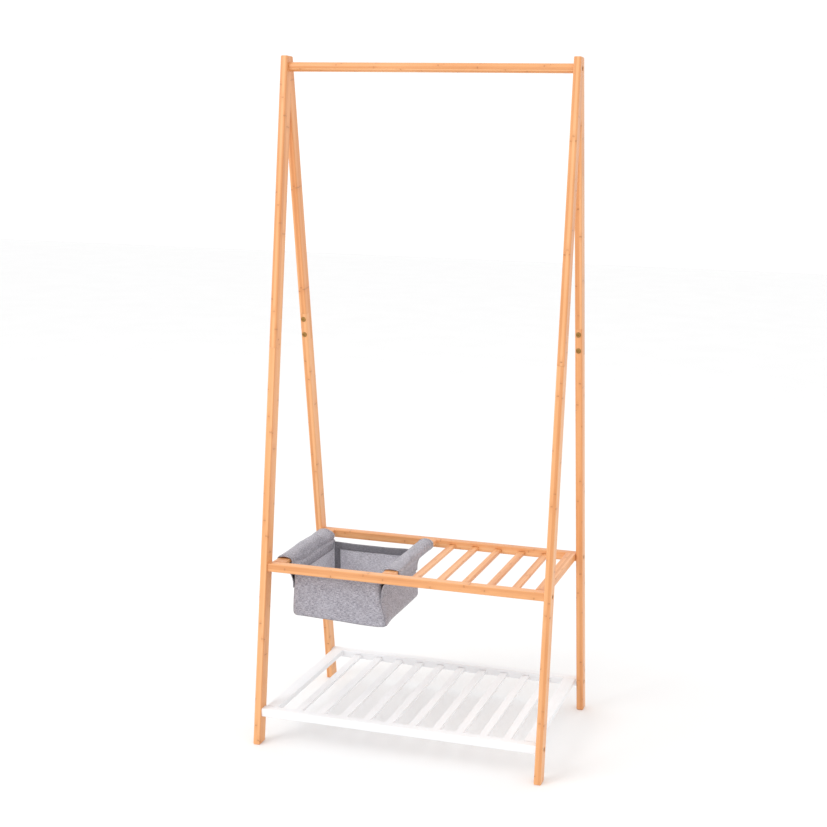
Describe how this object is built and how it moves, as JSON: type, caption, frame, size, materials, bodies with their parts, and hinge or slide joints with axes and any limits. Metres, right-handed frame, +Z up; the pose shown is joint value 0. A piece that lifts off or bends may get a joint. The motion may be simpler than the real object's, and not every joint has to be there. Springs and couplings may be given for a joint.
{
  "type": "clothes rack",
  "caption": "Bamboo A-frame clothes rack with a round hanging bar, a slatted middle shelf carrying a sliding grey fabric basket, and a white slatted lower shelf",
  "frame": {"origin": "on the floor, midway between the four feet", "axes": "+X along the hanging bar to the right, +Y to the rear, +Z up"},
  "size_m": [0.664, 0.4198, 1.5],
  "materials": {
    "bamboo": "clear satin lacquer over light orange bamboo",
    "white_paint": "satin white paint over wood",
    "dowel_wood": "bare beech",
    "brass_bolt": "satin brass plating",
    "brass_insert": "turned brass",
    "steel_bolt": "dark zinc plating",
    "basket_fabric": "grey melange felt-like weave",
    "basket_tape": "dark grey woven binding tape",
    "hook_and_loop": "black hook-and-loop tape"
  },
  "bodies": {
    "rack": {"apex_dowels": "dowel_wood", "bar_bolts": "steel_bolt", "bar_inserts": "brass_insert", "front_left_lower_leg": "bamboo", "front_left_upper_leg": "bamboo", "front_right_lower_leg": "bamboo", "front_right_upper_leg": "bamboo", "hanging_bar": "bamboo", "lap_bolts": "brass_bolt", "lap_inserts": "brass_insert", "lower_shelf_bolts": "steel_bolt", "lower_shelf_front_rail": "white_paint", "lower_shelf_inserts": "brass_insert", "lower_shelf_left_board": "white_paint", "lower_shelf_rear_rail": "white_paint", "lower_shelf_right_board": "white_paint", "lower_shelf_slat_01": "white_paint", "lower_shelf_slat_02": "white_paint", "lower_shelf_slat_03": "white_paint", "lower_shelf_slat_04": "white_paint", "lower_shelf_slat_05": "white_paint", "lower_shelf_slat_06": "white_paint", "lower_shelf_slat_07": "white_paint", "lower_shelf_slat_08": "white_paint", "lower_shelf_slat_09": "white_paint", "lower_shelf_slat_10": "white_paint", "middle_shelf_bolts": "steel_bolt", "middle_shelf_centre_board": "bamboo", "middle_shelf_front_rail": "bamboo", "middle_shelf_inserts": "brass_insert", "middle_shelf_left_board": "bamboo", "middle_shelf_rear_rail": "bamboo", "middle_shelf_right_board": "bamboo", "middle_shelf_slat_01": "bamboo", "middle_shelf_slat_02": "bamboo", "middle_shelf_slat_03": "bamboo", "middle_shelf_slat_04": "bamboo", "middle_shelf_slat_05": "bamboo", "rear_left_lower_leg": "bamboo", "rear_left_upper_leg": "bamboo", "rear_right_lower_leg": "bamboo", "rear_right_upper_leg": "bamboo"},
    "basket": {"basket_back_panel": "basket_fabric", "basket_base_panel": "basket_fabric", "basket_corner_tapes": "basket_tape", "basket_front_panel": "basket_fabric", "basket_hook_strips": "hook_and_loop", "basket_left_sleeve": "basket_fabric", "basket_left_wall": "basket_fabric", "basket_loop_strips": "hook_and_loop", "basket_right_sleeve": "basket_fabric", "basket_right_wall": "basket_fabric", "basket_rim_hems": "basket_tape"}
  },
  "joints": [
    {"name": "basket_slide", "type": "slide", "parent": "rack", "child": "basket", "axis": [0, 1, 0], "range_m": [-0.016, 0.026]}
  ]
}
